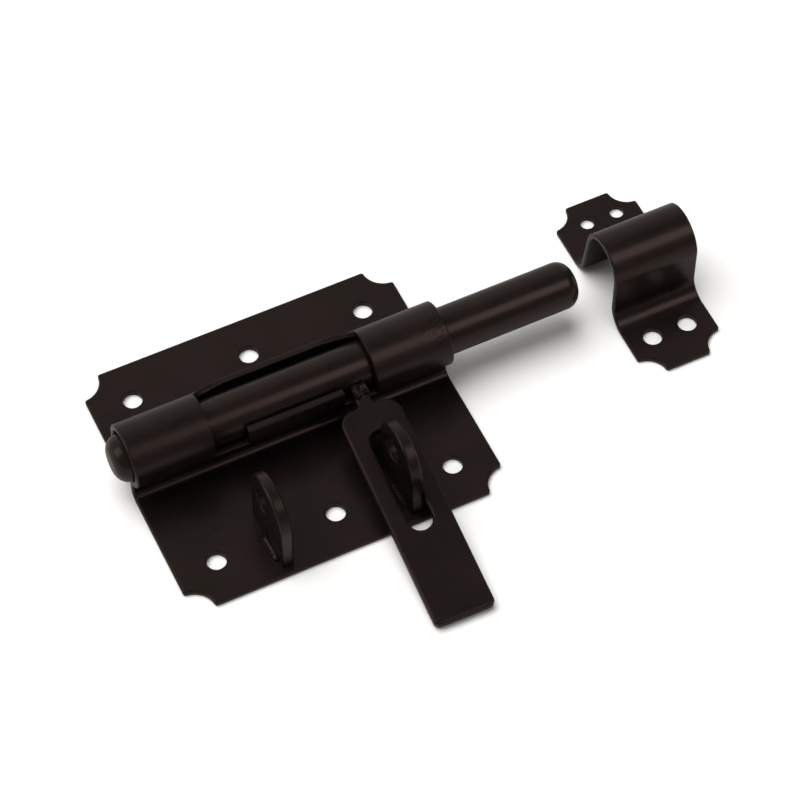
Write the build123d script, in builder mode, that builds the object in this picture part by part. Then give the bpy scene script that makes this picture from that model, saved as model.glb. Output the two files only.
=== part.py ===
from build123d import *
from math import atan, cos, degrees, radians, sin, sqrt, tan
import os

os.makedirs("parts", exist_ok=True)

# Frame: +X is the way the bolt is thrown, +Y is away from the handle, +Z is away from the door.
# The origin is the middle of the four corner screws, on the face that lies against the door.

# Pressed plate
plate_length = 110.0
plate_width = 95.0
sheet = 2.0
scallop_radius = 7.5
scallop_tip_radius = 0.8
screw_inset = 14.0
screw_hole_d = 6.5
rim_chamfer = 0.4

# Round bolt, thrown
bolt_d = 16.0
bolt_reach = 48.0
tail_reach = 4.6
bolt_end_radius = 5.0

# Barrel rolled from the middle of the plate, in which the bolt lies low
axis_y = 4.8
barrel_z = 17.6
barrel_clearance = 0.8
bolt_drop = 0.5
neck_half_gap = 3.2
neck_blend_radius = 3.0
fold_radius = 2.5

# Window in the barrel: a guard in front, a notch at each end of it and a wall behind
window_length = 56.0
guard_length = 33.2
guard_rise = 3.2
notch_drop = 3.6
back_wall_rise = 5.2
back_wall_end_rise = 8.5

# Padlock staples, one for each notch
staple_shift = 0.8
staple_thickness = 3.8
staple_setback = 2.5
staple_length = 23.6
staple_flat = 0.4
staple_rim = 6.2
staple_edge_chamfer = 0.5
padlock_hole_d = 10.0
padlock_hole_shift = 2.8
shackle_clearance = 1.6

# Flat handle, welded to the bolt by its neck, with a slot that goes over a staple
handle_skew = 1.3
handle_rise = 0.7
handle_width = 20.5
handle_thickness = 3.0
handle_grip = 30.4
handle_tip_lift = 0.55
handle_tip_radius = 2.0
shoulder_radius = 5.0
neck_width = 5.2
neck_corner_radius = 1.0
slot_land = 9.5
slot_back_clearance = 2.6
slot_front_clearance = 9.6
slot_side_clearance = 2.2
handle_edge_chamfer = 0.5
weld_gap = 0.3
weld_bead_radius = 2.2
weld_bead_sink = 0.6

# Keeper, standing apart from the bolt's tip
keeper_gap = 10.3
keeper_width = 30.0
keeper_sheet = 1.8
keeper_clearance = 0.5
keeper_arch_lift = 3.1
keeper_front_fold = 6.0
keeper_back_fold = 4.5
keeper_back_splay = 9.0
keeper_front_reach = 35.0
keeper_back_reach = 37.4
keeper_front_inset = 13.2
keeper_front_pitch = 12.8
keeper_front_hole_d = 6.4
keeper_back_inset = 8.8
keeper_back_shift = 1.3
keeper_back_pitch = 11.0
keeper_back_hole_d = 4.8
keeper_scallop_radius = 7.0
keeper_rim_chamfer = 0.35

# Sizes that follow from these
bolt_r = bolt_d / 2
bolt_z = barrel_z - bolt_drop
barrel_bore_r = bolt_r + barrel_clearance
barrel_r = barrel_bore_r + sheet
neck_half = neck_half_gap + sheet
above_all = 2 * (barrel_z + barrel_r)
notch_length = (window_length - guard_length) / 2
notch_x = (guard_length + notch_length) / 2
staple_front_y = staple_setback - plate_width / 2
staple_back_y = staple_front_y + staple_length
staple_mid_y = (staple_front_y + staple_back_y) / 2
padlock_hole_y = staple_mid_y + padlock_hole_shift
handle_reach = axis_y - staple_front_y + slot_front_clearance + handle_grip
slope = atan((bolt_z + handle_rise - handle_thickness / 2 - handle_tip_lift) / handle_reach)
handle_tip = handle_reach / cos(slope)
slot_start = (axis_y - staple_back_y - slot_back_clearance) / cos(slope)
slot_end = handle_tip - handle_grip / cos(slope)
slot_width = staple_thickness + 2 * slot_side_clearance
handle_shoulder = slot_start - slot_land
handle_top = handle_rise + handle_thickness / 2
bead_reach = sqrt((bolt_r + weld_gap) ** 2 - handle_top**2) + weld_bead_radius / 2
handle_top_z = bolt_z - (axis_y - padlock_hole_y) * tan(slope) + handle_top / cos(slope)
padlock_hole_z = handle_top_z + shackle_clearance + padlock_hole_d / 2
staple_top = padlock_hole_z + padlock_hole_d / 2 + staple_rim
keeper_x = plate_length / 2 + bolt_reach + keeper_gap + keeper_width / 2
keeper_arch_z = bolt_z + keeper_arch_lift
keeper_bore_r = bolt_r + keeper_clearance
keeper_front_y = axis_y - keeper_front_reach
keeper_back_y = axis_y + keeper_back_reach


def neck_corners(sketch, half):
    """Finds the corners on the two sides of the barrel's neck, level by level from the door."""
    return sketch.vertices().filter_by(lambda v: abs(abs(v.X - axis_y) - half) < 1e-4).group_by(Axis.Y)


def strip_corners(sketch, x, half):
    """Finds the two corners of the handle's strip that lie at x, half a width each side of its middle."""
    return sketch.vertices().filter_by(lambda v: abs(v.X - x) < 1e-4 and abs(abs(v.Y) - half) < 1e-4)


def rim_edges(part, scallop, tip):
    """Finds the edges round a sheet's sheared rim: its ends, its sides, its scallops and their tips."""
    faces = part.faces()
    rim = ShapeList()
    for axis in (Axis.X, Axis.Y):
        flat = faces.filter_by(axis).group_by(axis)
        rim += flat[0] + flat[-1]
    for radius in (scallop, tip):
        rim += faces.filter_by(GeomType.CYLINDER).filter_by(lambda f: abs(f.radius - radius) < 1e-4)
    return rim.edges().filter_by(lambda e: abs(e.tangent_at(0.5).Z) < 0.5)


def back_wall_section(x, roll, rise):
    """Draws the window's back wall at x: standing straight at roll 0, rolled round the bore at roll 1."""
    with BuildSketch(Plane.YZ.offset(x)) as section:
        foot = axis_y + barrel_bore_r
        if roll == 0:
            with Locations((foot, barrel_z)):
                Rectangle(sheet, rise, align=(Align.MIN, Align.MIN))
        else:
            middle_r = (barrel_bore_r + sheet / 2) / roll
            inner_r = middle_r - sheet / 2
            turn = degrees(rise / middle_r)
            with BuildLine(Plane.XY.move(Location((foot - inner_r, barrel_z)))):
                inner = CenterArc((0, 0), inner_r, 0, turn)
                outer = CenterArc((0, 0), inner_r + sheet, 0, turn)
                Line(inner @ 0, outer @ 0)
                Line(inner @ 1, outer @ 1)
            make_face()
    return section.sketch


# Back plate
with BuildPart() as back_plate:
    # The sheet runs flat, rises on a neck, goes round the barrel and runs flat again
    with BuildSketch(Plane.YZ.offset(-plate_length / 2)) as section:
        Rectangle(plate_width, sheet, align=(Align.CENTER, Align.MIN))
        with Locations((axis_y, 0)):
            Rectangle(2 * neck_half, barrel_z, align=(Align.CENTER, Align.MIN))
        with Locations((axis_y, barrel_z)):
            Circle(barrel_r)
        fillet(neck_corners(section, neck_half)[0], fold_radius)
        fillet(neck_corners(section, neck_half)[-1], neck_blend_radius)
        with Locations((axis_y, barrel_z)):
            Circle(barrel_bore_r, mode=Mode.SUBTRACT)
        with Locations((axis_y, 0)):
            Rectangle(2 * neck_half_gap, barrel_z, align=(Align.CENTER, Align.MIN), mode=Mode.SUBTRACT)
        fillet(neck_corners(section, neck_half_gap)[0], fold_radius + sheet)
        fillet(neck_corners(section, neck_half_gap)[-1], neck_blend_radius + sheet)
    extrude(amount=plate_length)
    with GridLocations(plate_length, plate_width, 2, 2):
        Cylinder(scallop_radius, 4 * sheet, mode=Mode.SUBTRACT)
    fillet(back_plate.edges().filter_by(Axis.Z).group_by(Axis.Z)[0], scallop_tip_radius)
    chamfer(rim_edges(back_plate, scallop_radius, scallop_tip_radius), rim_chamfer)
    with Locations((0, 0, sheet)):
        with GridLocations(plate_length / 2 - screw_inset, plate_width - 2 * screw_inset, 3, 2):
            Hole(screw_hole_d / 2, depth=sheet)
    # The window: open above the guard in front and above the barrel's middle behind
    with Locations((0, axis_y, barrel_z + guard_rise)):
        Box(window_length, barrel_r + sheet, above_all, align=(Align.CENTER, Align.MAX, Align.MIN),
            mode=Mode.SUBTRACT)
    with Locations((0, axis_y, barrel_z)):
        Box(window_length, barrel_r + sheet, above_all, align=(Align.CENTER, Align.MIN, Align.MIN),
            mode=Mode.SUBTRACT)
    # A notch at each end of the guard
    with Locations((0, axis_y, barrel_z - notch_drop)):
        with GridLocations(2 * notch_x, 1, 2, 1):
            Box(notch_length, barrel_r + sheet, above_all, align=(Align.CENTER, Align.MAX, Align.MIN),
                mode=Mode.SUBTRACT)
    # The back wall stands straight behind the guard and rolls over into the barrel behind each notch
    extrude(back_wall_section(-guard_length / 2, 0, back_wall_rise), amount=guard_length)
    for side in (-1, 1):
        sections = []
        for along in (0, 0.25, 0.5, 0.75, 1):
            x = side * (guard_length / 2 + notch_length * along)
            roll = along * along * (3 - 2 * along)
            rise = back_wall_rise + (back_wall_end_rise - back_wall_rise) * along**4
            sections.append(back_wall_section(x, roll, rise))
        loft(sections)
back_plate.part.label = "back_plate"
export_step(back_plate.part, "parts/back_plate.step")

# Bolt
with BuildPart() as bolt:
    with BuildSketch(Plane.YZ.offset(-plate_length / 2 - tail_reach)):
        with Locations((axis_y, bolt_z)):
            Circle(bolt_r)
    extrude(amount=tail_reach + plate_length + bolt_reach)
    fillet(bolt.edges().filter_by(GeomType.CIRCLE), bolt_end_radius)
bolt.part.label = "bolt"
export_step(bolt.part, "parts/bolt.step")

# Handle, drawn on its own slope: its X runs from the bolt's axis to the tip, its Y along the bolt.
# It was welded on slightly out of square, with its tip back from the way the bolt is thrown.
handle_plane = Plane(
    origin=(notch_x, axis_y, bolt_z),
    x_dir=(0, -cos(slope), -sin(slope)),
    z_dir=(0, -sin(slope), cos(slope)),
).rotated((0, 0, -handle_skew))
with BuildPart() as handle:
    with BuildSketch(handle_plane.offset(handle_rise)) as strip:
        with Locations((handle_shoulder, 0)):
            Rectangle(handle_tip - handle_shoulder, handle_width, align=(Align.MIN, Align.CENTER))
        fillet(strip_corners(strip, handle_shoulder, handle_width / 2), shoulder_radius)
        fillet(strip_corners(strip, handle_tip, handle_width / 2), handle_tip_radius)
        Rectangle(slot_start, neck_width, align=(Align.MIN, Align.CENTER))
        fillet(strip_corners(strip, handle_shoulder, neck_width / 2), neck_corner_radius)
        with Locations(((slot_start + slot_end) / 2, 0)):
            SlotOverall(slot_end - slot_start, slot_width, mode=Mode.SUBTRACT)
    extrude(amount=handle_thickness / 2, both=True)
    chamfer(handle.faces().filter_by(handle_plane).edges(), handle_edge_chamfer)
    # The weld bead on the neck's root, then room for the bolt
    with Locations(handle_plane):
        with Locations((bead_reach, 0, handle_top - weld_bead_sink)):
            Cylinder(weld_bead_radius, neck_width, rotation=(90, 0, 0))
    with Locations((notch_x, axis_y, bolt_z)):
        Cylinder(bolt_r + weld_gap, 2 * handle_width, rotation=(0, 90, 0), mode=Mode.SUBTRACT)
handle.part.label = "handle"
export_step(handle.part, "parts/handle.step")

# Staples
for name, side in (("staple_left", -1), ("staple_right", 1)):
    staple_x = side * notch_x + staple_shift
    with BuildPart() as staple:
        with BuildSketch(Plane.YZ.offset(staple_x)) as outline:
            with Locations((staple_mid_y, sheet)):
                Rectangle(staple_length, staple_top - sheet, align=(Align.CENTER, Align.MIN))
            fillet(outline.vertices().group_by(Axis.Y)[-1], (staple_length - staple_flat) / 2)
        extrude(amount=staple_thickness / 2, both=True)
        upper = staple.faces().filter_by(Axis.X).edges().filter_by(lambda e: e.center().Z > 2 * sheet)
        chamfer(upper, staple_edge_chamfer)
        with Locations((staple_x, padlock_hole_y, padlock_hole_z)):
            Cylinder(padlock_hole_d / 2, 2 * staple_thickness, rotation=(0, 90, 0), mode=Mode.SUBTRACT)
    staple.part.label = name
    export_step(staple.part, f"parts/{name}.step")

# Keeper
with BuildPart() as keeper:
    # All that is under the strap's upper side, less all that is under its lower side
    with BuildSketch(Plane.YZ.offset(keeper_x)):
        for lift, mode in ((keeper_sheet, Mode.ADD), (0, Mode.SUBTRACT)):
            with BuildLine() as side_line:
                arch = CenterArc((axis_y, keeper_arch_z), keeper_bore_r + lift, 180, keeper_back_splay - 180)
                arch_end = arch @ 1
                front_foot = (axis_y - keeper_bore_r - lift, lift)
                back_foot = (arch_end.X + (arch_end.Y - lift) * tan(radians(keeper_back_splay)), lift)
                below_front = (keeper_front_y, -keeper_sheet)
                below_back = (keeper_back_y, -keeper_sheet)
                Polyline(below_front, (keeper_front_y, lift), front_foot, arch @ 0)
                Polyline(arch_end, back_foot, (keeper_back_y, lift), below_back, below_front)
                feet = side_line.vertices().filter_by(lambda v: abs(v.Y - lift) < 1e-4).sort_by(Axis.X)
                fillet(feet[1], keeper_front_fold + keeper_sheet - lift)
                fillet(feet[2], keeper_back_fold + keeper_sheet - lift)
            make_face(mode=mode)
    extrude(amount=keeper_width / 2, both=True)
    with Locations((keeper_x, (keeper_front_y + keeper_back_y) / 2)):
        with GridLocations(keeper_width, keeper_back_y - keeper_front_y, 2, 2):
            Cylinder(keeper_scallop_radius, 4 * keeper_sheet, mode=Mode.SUBTRACT)
    fillet(keeper.edges().filter_by(Axis.Z).group_by(Axis.Z)[0], scallop_tip_radius)
    chamfer(rim_edges(keeper, keeper_scallop_radius, scallop_tip_radius), keeper_rim_chamfer)
    with Locations((keeper_x, keeper_front_y + keeper_front_inset, keeper_sheet)):
        with GridLocations(keeper_front_pitch, 1, 2, 1):
            Hole(keeper_front_hole_d / 2, depth=keeper_sheet)
    with Locations((keeper_x + keeper_back_shift, keeper_back_y - keeper_back_inset, keeper_sheet)):
        with GridLocations(keeper_back_pitch, 1, 2, 1):
            Hole(keeper_back_hole_d / 2, depth=keeper_sheet)
keeper.part.label = "keeper"
export_step(keeper.part, "parts/keeper.step")
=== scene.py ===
"""Finish of the padbolt: black powder coat over pressed sheet, bar and strip, and weld beads.

A paper floor, soft lights and a camera are set up around it.
"""
from math import cos, pi, radians, sin

import bmesh
import bpy
import numpy as np
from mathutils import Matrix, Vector


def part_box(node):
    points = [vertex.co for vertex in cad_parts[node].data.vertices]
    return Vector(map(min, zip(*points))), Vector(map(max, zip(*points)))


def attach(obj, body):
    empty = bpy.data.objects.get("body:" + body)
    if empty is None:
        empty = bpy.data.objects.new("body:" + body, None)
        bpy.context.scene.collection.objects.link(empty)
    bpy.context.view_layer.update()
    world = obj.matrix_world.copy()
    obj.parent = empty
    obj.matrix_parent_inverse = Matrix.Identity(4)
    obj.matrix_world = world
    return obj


bl_info = {
    "name": "Padbolt finish",
    "version": (1, 0, 0),
    "blender": (4, 5, 0),
    "location": "3D View > Sidebar > Padbolt",
    "description": "Gives the padbolt its powder coat, weld beads and paint nibs, and sets up a "
                   "studio stage",
    "category": "Object",
}

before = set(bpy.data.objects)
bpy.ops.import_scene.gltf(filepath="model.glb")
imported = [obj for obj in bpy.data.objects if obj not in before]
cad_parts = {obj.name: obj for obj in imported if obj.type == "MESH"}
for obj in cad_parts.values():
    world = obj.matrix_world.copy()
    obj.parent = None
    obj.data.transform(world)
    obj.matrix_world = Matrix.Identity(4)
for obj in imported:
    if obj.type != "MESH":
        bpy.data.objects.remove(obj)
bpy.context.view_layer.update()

MM = 0.001

# Points of a piece that lie closer than this, in metres, become one point
MERGE_DISTANCE = 1e-7

# Tint of the room's light, as linear red, green and blue
WARM_WHITE = np.array([1.0, 0.97, 0.95])

# The coat's patches: where their noise gives black and where brown black, the noise's usual range,
# and how far the roughness falls and rises over that range
BLACK_AT, BROWN_AT = 0.35, 0.7
NOISE_LOW, NOISE_HIGH = 0.3, 0.7
SMOOTHER, ROUGHER = 0.03, 0.05

# A weld bead's form: the two powers of its taper, how far its ripples drift and how far they run
# ahead at the crown, in radians, and the heights of ripples and lumps as shares of its radius
TAPER_POWER, TAPER_ROOT = 8, 0.6
RIPPLE_DRIFT, CROWN_LEAD = 1.6, 1.2
RIPPLE_HEIGHT = 0.04
LONG_LUMP, SIDE_LUMP = 0.14, 0.05


def linear(hex_colour):
    """Turns an sRGB hex colour into linear red, green and blue, by the curve of that standard."""
    code = hex_colour.lstrip("#")
    srgb = np.array([int(code[i:i + 2], 16) for i in (0, 2, 4)]) / 255
    return tuple(np.where(srgb <= 0.04045, srgb / 12.92, ((srgb + 0.055) / 1.055) ** 2.4).tolist())


def per_metre(width):
    """Gives a texture's scale for a pattern whose features are this wide, in metres."""
    return 1 / width


class PadboltCoat(bpy.types.PropertyGroup):
    """Powder coat: its colours, gloss, orange peel, rounded edges and clots."""

    black: bpy.props.FloatVectorProperty(
        name="Black", description="Colour of the coat where it lies thick",
        subtype="COLOR", size=3, min=0, max=1, default=linear("#0e0c0b"))
    brown_black: bpy.props.FloatVectorProperty(
        name="Brown black", description="Colour of the coat where it lies thin",
        subtype="COLOR", size=3, min=0, max=1, default=linear("#15100f"))
    sheen: bpy.props.FloatVectorProperty(
        name="Sheen", description="Warm cast of the coat's reflections",
        subtype="COLOR", size=3, min=0, max=1, default=linear("#ffd8cc"))
    roughness: bpy.props.FloatProperty(
        name="Roughness", description="Mean roughness of the satin coat",
        subtype="FACTOR", min=0, max=1, default=0.3)
    mottle_width: bpy.props.FloatProperty(
        name="Mottle width", description="Width of the patches where the coat is thicker or thinner",
        unit="LENGTH", default=14 * MM)
    peel_width: bpy.props.FloatProperty(
        name="Orange peel width", description="Width of the coat's fine lumps",
        unit="LENGTH", default=1.4 * MM)
    peel_height: bpy.props.FloatProperty(
        name="Orange peel height", description="Height of the coat's fine lumps",
        unit="LENGTH", default=0.012 * MM)
    edge_round: bpy.props.FloatProperty(
        name="Edge round", description="Radius to which the coat rounds off an edge",
        unit="LENGTH", default=0.4 * MM)
    clot_width: bpy.props.FloatProperty(
        name="Clot width", description="Width of the clots in the coat at the barrel's end",
        unit="LENGTH", default=1.7 * MM)
    clot_height: bpy.props.FloatProperty(
        name="Clot height", description="Height of the clots in the coat at the barrel's end",
        unit="LENGTH", default=0.3 * MM)
    clot_place: bpy.props.FloatVectorProperty(
        name="Clot place", description="Middle of the clots, high on the barrel's end",
        subtype="TRANSLATION", size=3, default=(0.0515, 0.0006, 0.0276))
    clot_reach: bpy.props.FloatProperty(
        name="Clot reach", description="How far the clots reach from their middle",
        unit="LENGTH", default=9 * MM)


class PadboltWelds(bpy.types.PropertyGroup):
    """Weld beads, spatter and paint nibs."""

    neck_bead: bpy.props.FloatProperty(
        name="Neck bead", description="Radius of the bead at the root of the handle's neck",
        unit="LENGTH", default=2.65 * MM)
    neck_bead_rise: bpy.props.FloatProperty(
        name="Neck bead rise",
        description="How far round the bolt the bead lies above the bolt's front",
        subtype="ANGLE", default=radians(1))
    staple_bead: bpy.props.FloatProperty(
        name="Staple bead", description="Radius of the bead along each staple's foot",
        unit="LENGTH", default=1.3 * MM)
    ripple: bpy.props.FloatProperty(
        name="Ripple", description="Distance from one ripple of a bead to the next",
        unit="LENGTH", default=1.7 * MM)
    spatter: bpy.props.FloatProperty(
        name="Spatter", description="Radius of the largest drop of weld spatter",
        unit="LENGTH", default=0.5 * MM)
    nib: bpy.props.FloatProperty(
        name="Paint nib", description="Radius of the largest speck under the flanges' coat",
        unit="LENGTH", default=0.6 * MM)


class PadboltStage(bpy.types.PropertyGroup):
    """Floor, table and camera."""

    floor: bpy.props.FloatVectorProperty(
        name="Floor", description="Colour of the paper floor",
        subtype="COLOR", size=3, min=0, max=1, default=linear("#f4f3f1"))
    table: bpy.props.FloatVectorProperty(
        name="Table", description="Colour of the table as the object's gloss shows it",
        subtype="COLOR", size=3, min=0, max=1, default=linear("#a5a29f"))
    floor_reach: bpy.props.FloatProperty(
        name="Floor reach", description="Distance from the middle to the floor's edge",
        unit="LENGTH", default=5.0)
    camera_place: bpy.props.FloatVectorProperty(
        name="Camera place", description="Where the camera stands",
        subtype="TRANSLATION", size=3, default=(-0.2105, -0.5186, 0.8524))
    camera_elevation: bpy.props.FloatProperty(
        name="Camera elevation", description="How far down the camera looks",
        subtype="ANGLE", default=radians(56.12))
    camera_azimuth: bpy.props.FloatProperty(
        name="Camera azimuth",
        description="How far the camera is turned to the left, and to the right below zero",
        subtype="ANGLE", default=radians(-25.65))
    lens: bpy.props.FloatProperty(
        name="Lens", description="Focal length on a 36 mm sensor, in millimetres", default=143.07)


def add_node(tree, kind, inputs=(), **settings):
    """Adds a node, sets its properties and fills its sockets, each with a constant or a link."""
    node = tree.nodes.new(kind)
    for name, value in settings.items():
        setattr(node, name, value)
    for socket, value in dict(inputs).items():
        if isinstance(value, bpy.types.NodeSocket):
            tree.links.new(value, node.inputs[socket])
        else:
            node.inputs[socket].default_value = value
    return node


def empty_material(name):
    """Makes a material with no nodes, and gives it back with its tree."""
    material = bpy.data.materials.new(name)
    material.use_nodes = True
    material.node_tree.nodes.clear()
    return material, material.node_tree


def powder_coat(name, coat, peel=1.0, stretch=(1, 1, 1), gloss=0.0, edge=1.0, clots=False):
    """Builds the satin black coat.

    It was sprayed as powder and baked, so its surface is a skin of shallow lumps. That gives the
    eye a black that is never quite even: soft reflections that waver, edges that are rounded and
    catch a thin line of light, and patches where the coat is a little browner. peel scales the
    lumps' height, stretch below one draws them out along an axis, gloss is taken off the roughness
    and edge scales the edges' round. With clots, the coat gathers in larger lumps round one place.
    """
    material, tree = empty_material(name)
    place = add_node(tree, "ShaderNodeTexCoord").outputs["Object"]
    drawn = add_node(tree, "ShaderNodeMapping", {"Vector": place, "Scale": stretch})
    patches = add_node(tree, "ShaderNodeTexNoise", {
        "Vector": place, "Scale": per_metre(coat.mottle_width), "Detail": 3.0, "Roughness": 0.55})
    colour = add_node(tree, "ShaderNodeValToRGB", {"Fac": patches.outputs["Fac"]})
    thick, thin = colour.color_ramp.elements
    thick.position, thick.color = BLACK_AT, (*coat.black, 1)
    thin.position, thin.color = BROWN_AT, (*coat.brown_black, 1)
    lumps = add_node(tree, "ShaderNodeTexNoise", {
        "Vector": drawn.outputs["Vector"], "Scale": per_metre(coat.peel_width),
        "Detail": 2.0, "Roughness": 0.5})
    mean = coat.roughness - gloss
    rough = add_node(tree, "ShaderNodeMapRange", {
        "Value": patches.outputs["Fac"], "From Min": NOISE_LOW, "From Max": NOISE_HIGH,
        "To Min": mean - SMOOTHER, "To Max": mean + ROUGHER})
    edges = add_node(tree, "ShaderNodeBevel", {"Radius": coat.edge_round * edge}, samples=8)
    bump = add_node(tree, "ShaderNodeBump", {
        "Strength": 1.0, "Distance": coat.peel_height * peel,
        "Height": lumps.outputs["Fac"], "Normal": edges.outputs["Normal"]})
    if clots:
        centred = add_node(tree, "ShaderNodeMapping", {
            "Vector": place, "Location": -Vector(coat.clot_place) / coat.clot_reach,
            "Scale": [1 / coat.clot_reach] * 3})
        near = add_node(tree, "ShaderNodeTexGradient", {
            "Vector": centred.outputs["Vector"]}, gradient_type="SPHERICAL")
        clot = add_node(tree, "ShaderNodeTexNoise", {
            "Vector": place, "Scale": per_metre(coat.clot_width), "Detail": 1.0})
        bump = add_node(tree, "ShaderNodeBump", {
            "Strength": near.outputs["Fac"], "Distance": coat.clot_height,
            "Height": clot.outputs["Fac"], "Normal": bump.outputs["Normal"]})
    shader = add_node(tree, "ShaderNodeBsdfPrincipled", {
        "Base Color": colour.outputs["Color"], "Roughness": rough.outputs["Result"],
        "Metallic": 0.0, "IOR": 1.5, "Specular Tint": (*coat.sheen, 1),
        "Normal": bump.outputs["Normal"]})
    add_node(tree, "ShaderNodeOutputMaterial", {"Surface": shader.outputs["BSDF"]})
    return material


def coat_nodes(material, *names):
    """Puts a material on the solids of these names."""
    for name in names:
        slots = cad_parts[name].data.materials
        slots.clear()
        slots.append(material)


def surfaces_mesh(name, points, material, body):
    """Makes one object from surfaces of a (surface, ring, place round the ring, xyz) array.

    Each ring is closed on itself. The first and last ring of a surface have no width, so they
    merge to poles.
    """
    count, rings, around, _ = points.shape
    index = np.arange(count * rings * around).reshape(count, rings, around)
    ahead = np.roll(index, -1, axis=2)
    quads = np.stack([index[:, :-1], ahead[:, :-1], ahead[:, 1:], index[:, 1:]], axis=-1)
    mesh = bpy.data.meshes.new(name)
    mesh.from_pydata(points.reshape(-1, 3).tolist(), [], quads.reshape(-1, 4).tolist())
    shape = bmesh.new()
    shape.from_mesh(mesh)
    bmesh.ops.remove_doubles(shape, verts=shape.verts, dist=MERGE_DISTANCE)
    bmesh.ops.recalc_face_normals(shape, faces=shape.faces)
    shape.to_mesh(mesh)
    shape.free()
    mesh.shade_smooth()
    mesh.materials.append(material)
    piece = bpy.data.objects.new(name, mesh)
    bpy.context.scene.collection.objects.link(piece)
    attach(piece, body)


def bead_points(start, end, side, up, radius, ripple, phases, rings=72, around=28):
    """Points of weld beads, as a round profile carried along a straight path.

    At s along the path and angle a round it, the radius is the bead's own radius times a blunt
    taper to both ends, times crescent ripples that run ahead at the bead's crown and come now
    closer, now wider, times slow lumps of two sine waves. A bead's phase shifts all its waves, so
    that no two beads are alike.
    """
    s = np.linspace(0, 1, rings)[None, :, None, None]
    a = np.linspace(0, 2 * pi, around, endpoint=False)[None, None, :, None]
    start, end = (np.asarray(p, float)[:, None, None, :] for p in (start, end))
    length = np.linalg.norm(end - start, axis=-1, keepdims=True)
    phase = np.asarray(phases, float)[:, None, None, None]
    taper = (1 - np.abs(2 * s - 1) ** TAPER_POWER) ** TAPER_ROOT
    drift = RIPPLE_DRIFT * np.sin(8 * s + 3 * phase)
    lead = CROWN_LEAD * np.sin(a)
    ripples = 1 + RIPPLE_HEIGHT * np.sin(2 * pi * s * length / ripple + drift + lead + phase)
    along, across = np.sin(7 * s + 2 * phase), np.sin(2 * a + 6 * s + phase)
    lumps = 1 + LONG_LUMP * along + SIDE_LUMP * across
    r = radius * taper * ripples * lumps
    outwards = np.cos(a) * np.asarray(side) + np.sin(a) * np.asarray(up)
    return start + (end - start) * s + r * outwards


def drop_points(centres, radii, flatness, rings=9, around=16):
    """Points of drops half sunk in a surface, on a grid of polar angle and turn.

    Each is an ellipsoid, round from above and as high as flatness times its width.
    """
    polar = np.linspace(0, pi, rings)[None, :, None]
    turn = np.linspace(0, 2 * pi, around, endpoint=False)[None, None, :]
    ball = np.stack(np.broadcast_arrays(
        np.sin(polar) * np.cos(turn), np.sin(polar) * np.sin(turn), flatness * np.cos(polar)),
        axis=-1)
    return np.asarray(centres)[:, None, None, :] + np.asarray(radii)[:, None, None, None] * ball


class PADBOLT_OT_coat_sheet(bpy.types.Operator):
    """Coat the two pressed sheets, the back plate and the keeper"""

    bl_idname = "padbolt.coat_sheet"
    bl_label = "Coat the sheets"

    def execute(self, context):
        coat = context.scene.padbolt_coat
        # Rolling left the sheet uneven: reflections waver, and break up in clots at one end
        plate = powder_coat("powder_coat_on_rolled_plate", coat, peel=1.8, edge=2.2, clots=True)
        coat_nodes(plate, "back_plate")
        # The strap was only bent, so its crown shows a cleaner streak and its edges a thin line
        strap = powder_coat("powder_coat_on_bent_strap", coat, gloss=0.02)
        coat_nodes(strap, "keeper")
        return {"FINISHED"}


class PADBOLT_OT_coat_bar(bpy.types.Operator):
    """Coat the bolt, a drawn bar whose coat lies smoother along its length"""

    bl_idname = "padbolt.coat_bar"
    bl_label = "Coat the bolt"

    def execute(self, context):
        # Drawing left the bar smooth lengthwise, which gives long straight streaks of light
        bar = powder_coat(
            "powder_coat_on_drawn_bar", context.scene.padbolt_coat,
            peel=0.7, stretch=(0.35, 1, 1), gloss=0.03)
        coat_nodes(bar, "bolt")
        return {"FINISHED"}


class PADBOLT_OT_coat_strip(bpy.types.Operator):
    """Coat the handle and the staples, which were cut from strip"""

    bl_idname = "padbolt.coat_strip"
    bl_label = "Coat the handle and the staples"

    def execute(self, context):
        coat = context.scene.padbolt_coat
        # The coat drew round the cut edges, which gives them a broad soft line of light
        strip = powder_coat("powder_coat_on_cut_strip", coat, peel=1.2, edge=3.4)
        coat_nodes(strip, "handle")
        # The eyes' edges are sharper, so the line of light on them is narrower
        eyes = powder_coat("powder_coat_on_punched_eyes", coat, peel=1.2, edge=2.2)
        coat_nodes(eyes, "staple_left", "staple_right")
        return {"FINISHED"}


class PADBOLT_OT_neck_weld(bpy.types.Operator):
    """Lay the bead that joins the handle's neck to the bolt"""

    bl_idname = "padbolt.neck_weld"
    bl_label = "Weld the neck"

    # Depth of the neck's root, whose width the bead has, in metres
    root_depth = 2 * MM
    # How far the bead's middle stands off the bolt, as a share of the bead's radius
    stand_off = 0.47
    phases = (0.4,)

    def execute(self, context):
        welds = context.scene.padbolt_welds
        low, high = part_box("bolt")
        corners = np.array([v.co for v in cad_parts["handle"].data.vertices])
        root = corners[corners[:, 1] > corners[:, 1].max() - self.root_depth]
        reach = (high.z - low.z) / 2 + self.stand_off * welds.neck_bead
        y = (low.y + high.y) / 2 - reach * cos(welds.neck_bead_rise)
        z = (low.z + high.z) / 2 + reach * sin(welds.neck_bead_rise)
        points = bead_points(
            [(root[:, 0].min(), y, z)], [(root[:, 0].max(), y, z)], side=(0, -1, 0), up=(0, 0, 1),
            radius=welds.neck_bead, ripple=welds.ripple, phases=self.phases)
        # The coat runs smooth over a weld, so each ripple shows a small glint
        material = powder_coat(
            "powder_coat_on_weld", context.scene.padbolt_coat, peel=0.8, gloss=0.1)
        surfaces_mesh("neck_weld", points, material, "handle")
        return {"FINISHED"}


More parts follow.
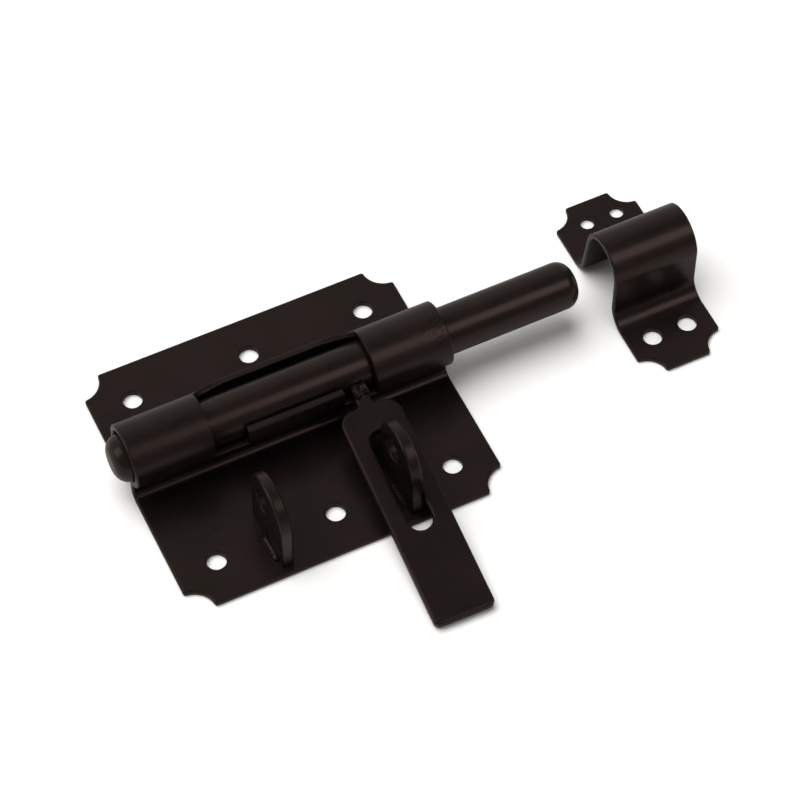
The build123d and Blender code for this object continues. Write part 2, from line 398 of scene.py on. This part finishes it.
class PADBOLT_OT_staple_welds(bpy.types.Operator):
    """Lay the bead along the left foot of each staple, with its spatter"""

    bl_idname = "padbolt.staple_welds"
    bl_label = "Weld the staples"

    # How far a bead's middle lies left of the staple and above the flange, as shares of its radius
    bead_aside, bead_above = 0.2, 0.15
    # Where a bead starts and ends, and its spatter too, behind the staple's front, in metres
    bead_span = (3 * MM, 14 * MM)
    spatter_span = (2 * MM, 15 * MM)
    # How far left of the staple the spatter lies, in millimetres
    spatter_aside = (1.8, 2.8)
    # Drops at each staple, their sizes as shares of the largest, and height as a share of width
    drop_count = 3
    drop_sizes = (0.5, 1)
    drop_flatness = 0.6
    drop_seed = 7
    phases = (1.1, 2.6)

    def execute(self, context):
        welds = context.scene.padbolt_welds
        starts, ends, drops, sizes = [], [], [], []
        rng = np.random.default_rng(self.drop_seed)
        for name in ("staple_left", "staple_right"):
            low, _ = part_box(name)
            x = low.x - self.bead_aside * welds.staple_bead
            z = low.z + self.bead_above * welds.staple_bead
            starts.append((x, low.y + self.bead_span[0], z))
            ends.append((x, low.y + self.bead_span[1], z))
            nearest, farthest = (low.y + distance for distance in self.spatter_span)
            along = rng.uniform(nearest, farthest, self.drop_count)
            aside = low.x - rng.uniform(*self.spatter_aside, self.drop_count) * MM
            drops.append(np.stack([aside, along, np.full(self.drop_count, low.z)], axis=-1))
            sizes.append(welds.spatter * rng.uniform(*self.drop_sizes, self.drop_count))
        # As on the neck's weld, each ripple and drop shows a small glint
        material = powder_coat(
            "powder_coat_on_staple_weld", context.scene.padbolt_coat, peel=0.8, gloss=0.1)
        beads = bead_points(
            starts, ends, side=(-1, 0, 0), up=(0, 0, 1),
            radius=welds.staple_bead, ripple=welds.ripple, phases=self.phases)
        surfaces_mesh("staple_welds", beads, material, "plate")
        spatter = drop_points(np.concatenate(drops), np.concatenate(sizes), self.drop_flatness)
        surfaces_mesh("weld_spatter", spatter, material, "plate")
        return {"FINISHED"}


class PADBOLT_OT_paint_nibs(bpy.types.Operator):
    """Set the specks that were caught under the coat on the flanges and on the handle's edge"""

    bl_idname = "padbolt.paint_nibs"
    bl_label = "Set the paint nibs"

    # Places on the flanges, and the one on the handle's left edge, in millimetres
    flange_places = ((-36.6, -22.7), (13.7, 33.8))
    edge_place = (11.3, -58.4, 8.25)
    # Sizes as shares of the nib's radius, and heights as shares of the width
    first_size, last_size, edge_size = 1, 0.5, 1.2
    flange_flatness, edge_flatness = 0.4, 0.8

    def execute(self, context):
        nib = context.scene.padbolt_welds.nib
        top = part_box("staple_left")[0].z
        flat = np.array(self.flange_places) * MM
        centres = np.column_stack([flat, np.full(len(flat), top)])
        radii = nib * np.linspace(self.first_size, self.last_size, len(flat))
        # The coat closes over a speck and hides what it is: a small bright bump in the same black
        material = powder_coat("powder_coat_over_nibs", context.scene.padbolt_coat)
        specks = drop_points(centres, radii, self.flange_flatness)
        surfaces_mesh("paint_nibs", specks, material, "plate")
        edge_centre = np.array([self.edge_place]) * MM
        speck = drop_points(edge_centre, [self.edge_size * nib], self.edge_flatness)
        surfaces_mesh("handle_nib", speck, material, "handle")
        return {"FINISHED"}


class PADBOLT_OT_stage(bpy.types.Operator):
    """Set up the paper floor, the soft lights and the camera"""

    bl_idname = "padbolt.stage"
    bl_label = "Set the stage"

    # How far the two sheets lie under the object, in metres
    floor_drop, table_drop = 0.05 * MM, 0.03 * MM
    # Width of the camera's sensor, in millimetres
    sensor_width = 36
    # The room's brightness, at places from its front, 0, to its back wall, 1
    room_levels = (
        (0.0, 0.17), (0.5, 0.13), (0.62, 0.13), (0.7, 0.23), (0.76, 0.33), (0.86, 0.41), (1.0, 0.44))
    # Each light's name, kind, place and aim, its strength in watts, or for the sun in watts per
    # square metre, and its width and height, all in metres
    lights = (
        ("front_box", "AREA", (0.60, -0.52, 0.86), (0.60, 0, 0), 1.9, (0.9, 0.55)),
        ("left_panel", "AREA", (-0.85, 0.20, 0.66), (0, 0, 0), 2.0, (0.6, 1.0)),
        ("paper_light", "SUN", (-0.2, 0.3, 1.0), (0, 0, 0), 3.0, None),
    )
    # Angle over which the sun is spread, for soft shadows
    sun_spread = radians(50)

    def execute(self, context):
        scene = context.scene
        stage = scene.padbolt_stage
        floor = self.lay_sheet(scene, stage, "floor", stage.floor, self.floor_drop)
        floor.visible_glossy = False
        # The real table was darker than the paper looks, and shows only in the object's gloss
        table = self.lay_sheet(scene, stage, "table", stage.table, self.table_drop)
        table.visible_camera = False
        table.visible_diffuse = False
        table.visible_transmission = False
        table.visible_shadow = False
        self.light_room(scene)
        self.hang_lights(scene)
        camera = bpy.data.cameras.new("camera")
        camera.lens = stage.lens
        camera.sensor_width = self.sensor_width
        stand = bpy.data.objects.new("camera", camera)
        stand.location = stage.camera_place
        stand.rotation_euler = (pi / 2 - stage.camera_elevation, 0, stage.camera_azimuth)
        scene.collection.objects.link(stand)
        scene.camera = stand
        scene.view_settings.view_transform = "Standard"
        return {"FINISHED"}

    def lay_sheet(self, scene, stage, name, colour, drop):
        """Lays a square sheet of matt paper, an even tone with no gloss, under the object."""
        material, tree = empty_material(f"matt_paper_{name}")
        shader = add_node(tree, "ShaderNodeBsdfPrincipled", {
            "Base Color": (*colour, 1), "Roughness": 0.9, "Specular IOR Level": 0.2})
        add_node(tree, "ShaderNodeOutputMaterial", {"Surface": shader.outputs["BSDF"]})
        reach = stage.floor_reach
        corners = [(x, y, -drop) for x, y in (
            (-reach, -reach), (reach, -reach), (reach, reach), (-reach, reach))]
        mesh = bpy.data.meshes.new(name)
        mesh.from_pydata(corners, [], [(0, 1, 2, 3)])
        mesh.materials.append(material)
        sheet = bpy.data.objects.new(name, mesh)
        scene.collection.objects.link(sheet)
        return sheet

    def light_room(self, scene):
        """Gives the room its own light: dim in front, and rising to a pale wall behind."""
        world = bpy.data.worlds.new("studio")
        world.use_nodes = True
        tree = world.node_tree
        tree.nodes.clear()
        towards = add_node(tree, "ShaderNodeTexCoord").outputs["Generated"]
        back = add_node(tree, "ShaderNodeSeparateXYZ", {"Vector": towards}).outputs["Y"]
        share = add_node(tree, "ShaderNodeMapRange", {
            "Value": back, "From Min": -1.0, "From Max": 1.0})
        room = add_node(tree, "ShaderNodeValToRGB", {"Fac": share.outputs["Result"]})
        *levels, (wall_position, wall_level) = self.room_levels
        stops = room.color_ramp.elements
        stops.remove(stops[0])
        stops[0].position = wall_position
        stops[0].color = (*(wall_level * WARM_WHITE), 1)
        for position, level in levels:
            stops.new(position).color = (*(level * WARM_WHITE), 1)
        sky = add_node(tree, "ShaderNodeBackground", {
            "Color": room.outputs["Color"], "Strength": 1.0})
        add_node(tree, "ShaderNodeOutputWorld", {"Surface": sky.outputs["Background"]})
        scene.world = world

    def hang_lights(self, scene):
        """Hangs a soft box in front, a panel on the left and an even light for the paper."""
        for name, kind, place, aim, energy, size in self.lights:
            light = bpy.data.lights.new(name, kind)
            light.energy = energy
            lamp = bpy.data.objects.new(name, light)
            if size:
                light.shape = "RECTANGLE"
                light.size, light.size_y = size
            else:
                light.angle = self.sun_spread
                lamp.visible_glossy = False
            lamp.location = place
            away = lamp.location - Vector(aim)
            lamp.rotation_euler = away.to_track_quat("Z", "Y").to_euler()
            lamp.visible_camera = False
            scene.collection.objects.link(lamp)


class PADBOLT_PT_finish(bpy.types.Panel):
    """Lists the padbolt's operators and settings"""

    bl_label = "Padbolt finish"
    bl_idname = "PADBOLT_PT_finish"
    bl_space_type = "VIEW_3D"
    bl_region_type = "UI"
    bl_category = "Padbolt"

    def draw(self, context):
        for operator in OPERATORS:
            self.layout.operator(operator.bl_idname)
        for group_name, group in GROUPS.items():
            for name in group.__annotations__:
                self.layout.prop(getattr(context.scene, group_name), name)


GROUPS = {
    "padbolt_coat": PadboltCoat,
    "padbolt_welds": PadboltWelds,
    "padbolt_stage": PadboltStage,
}
OPERATORS = (
    PADBOLT_OT_coat_sheet,
    PADBOLT_OT_coat_bar,
    PADBOLT_OT_coat_strip,
    PADBOLT_OT_neck_weld,
    PADBOLT_OT_staple_welds,
    PADBOLT_OT_paint_nibs,
    PADBOLT_OT_stage,
)


def register():
    for name, group in GROUPS.items():
        bpy.utils.register_class(group)
        setattr(bpy.types.Scene, name, bpy.props.PointerProperty(type=group))
    for operator in OPERATORS:
        bpy.utils.register_class(operator)
    bpy.utils.register_class(PADBOLT_PT_finish)


def unregister():
    bpy.utils.unregister_class(PADBOLT_PT_finish)
    for operator in reversed(OPERATORS):
        bpy.utils.unregister_class(operator)
    for name, group in reversed(GROUPS.items()):
        delattr(bpy.types.Scene, name)
        bpy.utils.unregister_class(group)


def main():
    register()
    bpy.ops.padbolt.coat_sheet()
    bpy.ops.padbolt.coat_bar()
    bpy.ops.padbolt.coat_strip()
    bpy.ops.padbolt.neck_weld()
    bpy.ops.padbolt.staple_welds()
    bpy.ops.padbolt.paint_nibs()
    bpy.ops.padbolt.stage()


if __name__ == "__main__":
    main()
